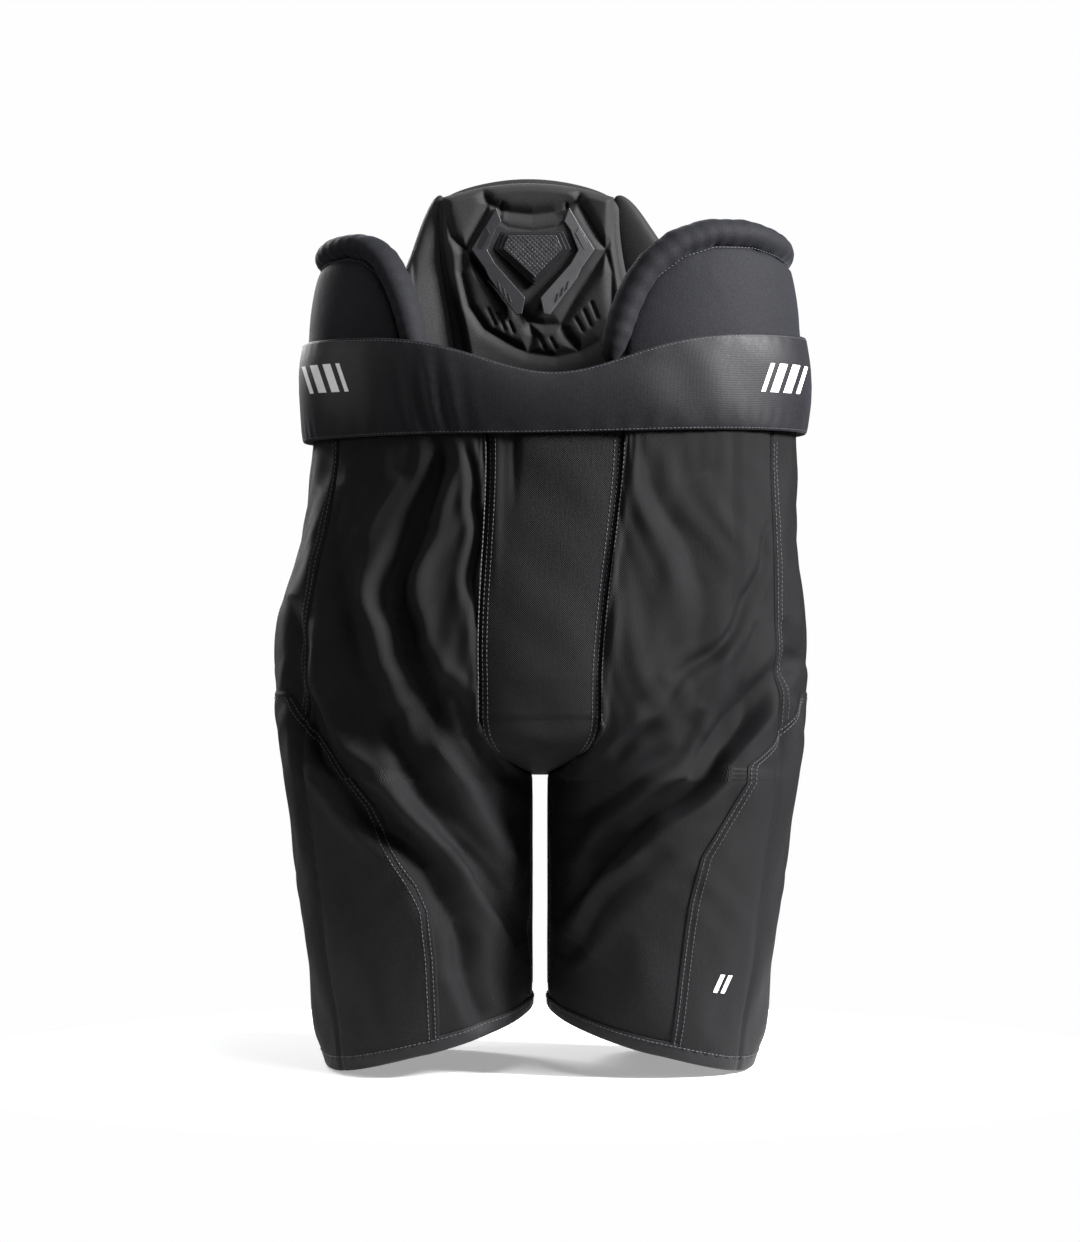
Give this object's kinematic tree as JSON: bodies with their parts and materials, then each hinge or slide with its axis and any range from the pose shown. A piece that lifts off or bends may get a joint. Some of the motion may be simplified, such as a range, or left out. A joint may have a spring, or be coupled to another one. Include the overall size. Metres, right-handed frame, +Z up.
{
  "type": "hockey pants",
  "caption": "Padded ice hockey pants with a belt, spine and kidney pads, flexing legs, inner thigh zips and a waist buckle.",
  "frame": {"origin": "middle of the base of the bounding box, where the hems stand", "axes": "+Z up from the hems to the top of the spine pad, -Y towards the wearer's front, +X towards the wearer's left"},
  "size_m": [0.398, 0.2472, 0.6743],
  "materials": {
    "shell_nylon": "woven oxford nylon, matte with a faint sheen",
    "hem_binding": "folded and topstitched nylon",
    "belt_fabric": "smooth stretch fabric over foam, satin",
    "collar_fabric": "brushed knit over foam, soft matte",
    "molded_mesh": "moulded spacer mesh, matte",
    "lining_mesh": "thin knit mesh, matte",
    "foam": "closed cell foam, matte",
    "hard_plate": "moulded polyethylene",
    "webbing": "ribbed woven webbing",
    "buckle_plastic": "fine textured acetal",
    "badge_plastic": "glossy, with a woven fibre look",
    "trim_plastic": "satin metallic moulding",
    "zip_fabric": "moulded teeth on woven tape",
    "slider_metal": "black coated zinc"
  },
  "bodies": {
    "trunk": {"fly_panel": "shell_nylon", "seat_panel": "shell_nylon", "front_panel_left": "shell_nylon", "front_panel_right": "shell_nylon", "side_panel_left": "shell_nylon", "side_panel_right": "shell_nylon", "back_panel_left": "shell_nylon", "back_panel_right": "shell_nylon", "hip_fabric_left": "shell_nylon", "hip_fabric_right": "shell_nylon", "crotch_gusset": "shell_nylon", "belt_cover": "belt_fabric", "kidney_pad_left": "collar_fabric", "kidney_pad_right": "collar_fabric", "kidney_roll_left": "collar_fabric", "kidney_roll_right": "collar_fabric", "spine_pad": "molded_mesh", "spine_wing_left": "molded_mesh", "spine_wing_right": "molded_mesh", "spine_plate": "hard_plate", "badge": "badge_plastic", "badge_frame": "badge_plastic", "spine_trim_left": "trim_plastic", "spine_trim_right": "trim_plastic", "belt_strap_left": "webbing", "belt_strap_right": "webbing", "buckle_socket": "buckle_plastic", "hip_pad_left": "foam", "hip_pad_right": "foam", "hip_plate_left": "hard_plate", "hip_plate_right": "hard_plate", "tailbone_pad": "foam", "tailbone_plate": "hard_plate", "trunk_lining": "lining_mesh"},
    "leg_left": {"thigh_inner_panel_left": "shell_nylon", "thigh_front_panel_left": "shell_nylon", "thigh_cap_panel_left": "shell_nylon", "thigh_back_panel_left": "shell_nylon", "leg_hem_left": "hem_binding", "leg_lining_left": "lining_mesh", "thigh_pad_left": "foam", "thigh_plate_left": "hard_plate", "zip_tape_left": "zip_fabric", "zip_teeth_left": "zip_fabric"},
    "leg_right": {"thigh_inner_panel_right": "shell_nylon", "thigh_front_panel_right": "shell_nylon", "thigh_cap_panel_right": "shell_nylon", "thigh_back_panel_right": "shell_nylon", "leg_hem_right": "hem_binding", "leg_lining_right": "lining_mesh", "thigh_pad_right": "foam", "thigh_plate_right": "hard_plate", "zip_tape_right": "zip_fabric", "zip_teeth_right": "zip_fabric"},
    "zip_slider_left": {"zip_slider_left": "slider_metal"},
    "zip_slider_right": {"zip_slider_right": "slider_metal"},
    "zip_pull_left": {"zip_pull_left": "slider_metal"},
    "zip_pull_right": {"zip_pull_right": "slider_metal"},
    "buckle_plug": {"buckle_plug": "buckle_plastic"}
  },
  "joints": [
    {"name": "hip_flex_left", "type": "hinge", "parent": "trunk", "child": "leg_left", "pos_m": [0.1, 0, 0.29], "axis": [-1, 0, 0], "range_deg": [-15, 35], "deforming": ["hip_fabric_left", "crotch_gusset"]},
    {"name": "hip_flex_right", "type": "hinge", "parent": "trunk", "child": "leg_right", "pos_m": [-0.1, 0, 0.29], "axis": [-1, 0, 0], "range_deg": [-15, 35], "deforming": ["hip_fabric_right"]},
    {"name": "zip_open_left", "type": "slide", "parent": "leg_left", "child": "zip_slider_left", "axis": [0.0114, 0.0436, 0.999], "range_m": [0, 0.112]},
    {"name": "zip_open_right", "type": "slide", "parent": "leg_right", "child": "zip_slider_right", "axis": [-0.0114, 0.0436, 0.999], "range_m": [0, 0.112]},
    {"name": "zip_pull_swing_left", "type": "hinge", "parent": "zip_slider_left", "child": "zip_pull_left", "pos_m": [0.01293, 0.06701, 0.06524], "axis": [0.4001, 0.9154, -0.0446], "range_deg": [0, 150]},
    {"name": "zip_pull_swing_right", "type": "hinge", "parent": "zip_slider_right", "child": "zip_pull_right", "pos_m": [-0.01293, 0.06701, 0.06524], "axis": [0.4001, -0.9154, 0.0446], "range_deg": [0, 150]},
    {"name": "buckle_release", "type": "slide", "parent": "trunk", "child": "buckle_plug", "axis": [-1, 0, 0], "range_m": [0, 0.024], "deforming": ["belt_strap_right"]}
  ]
}
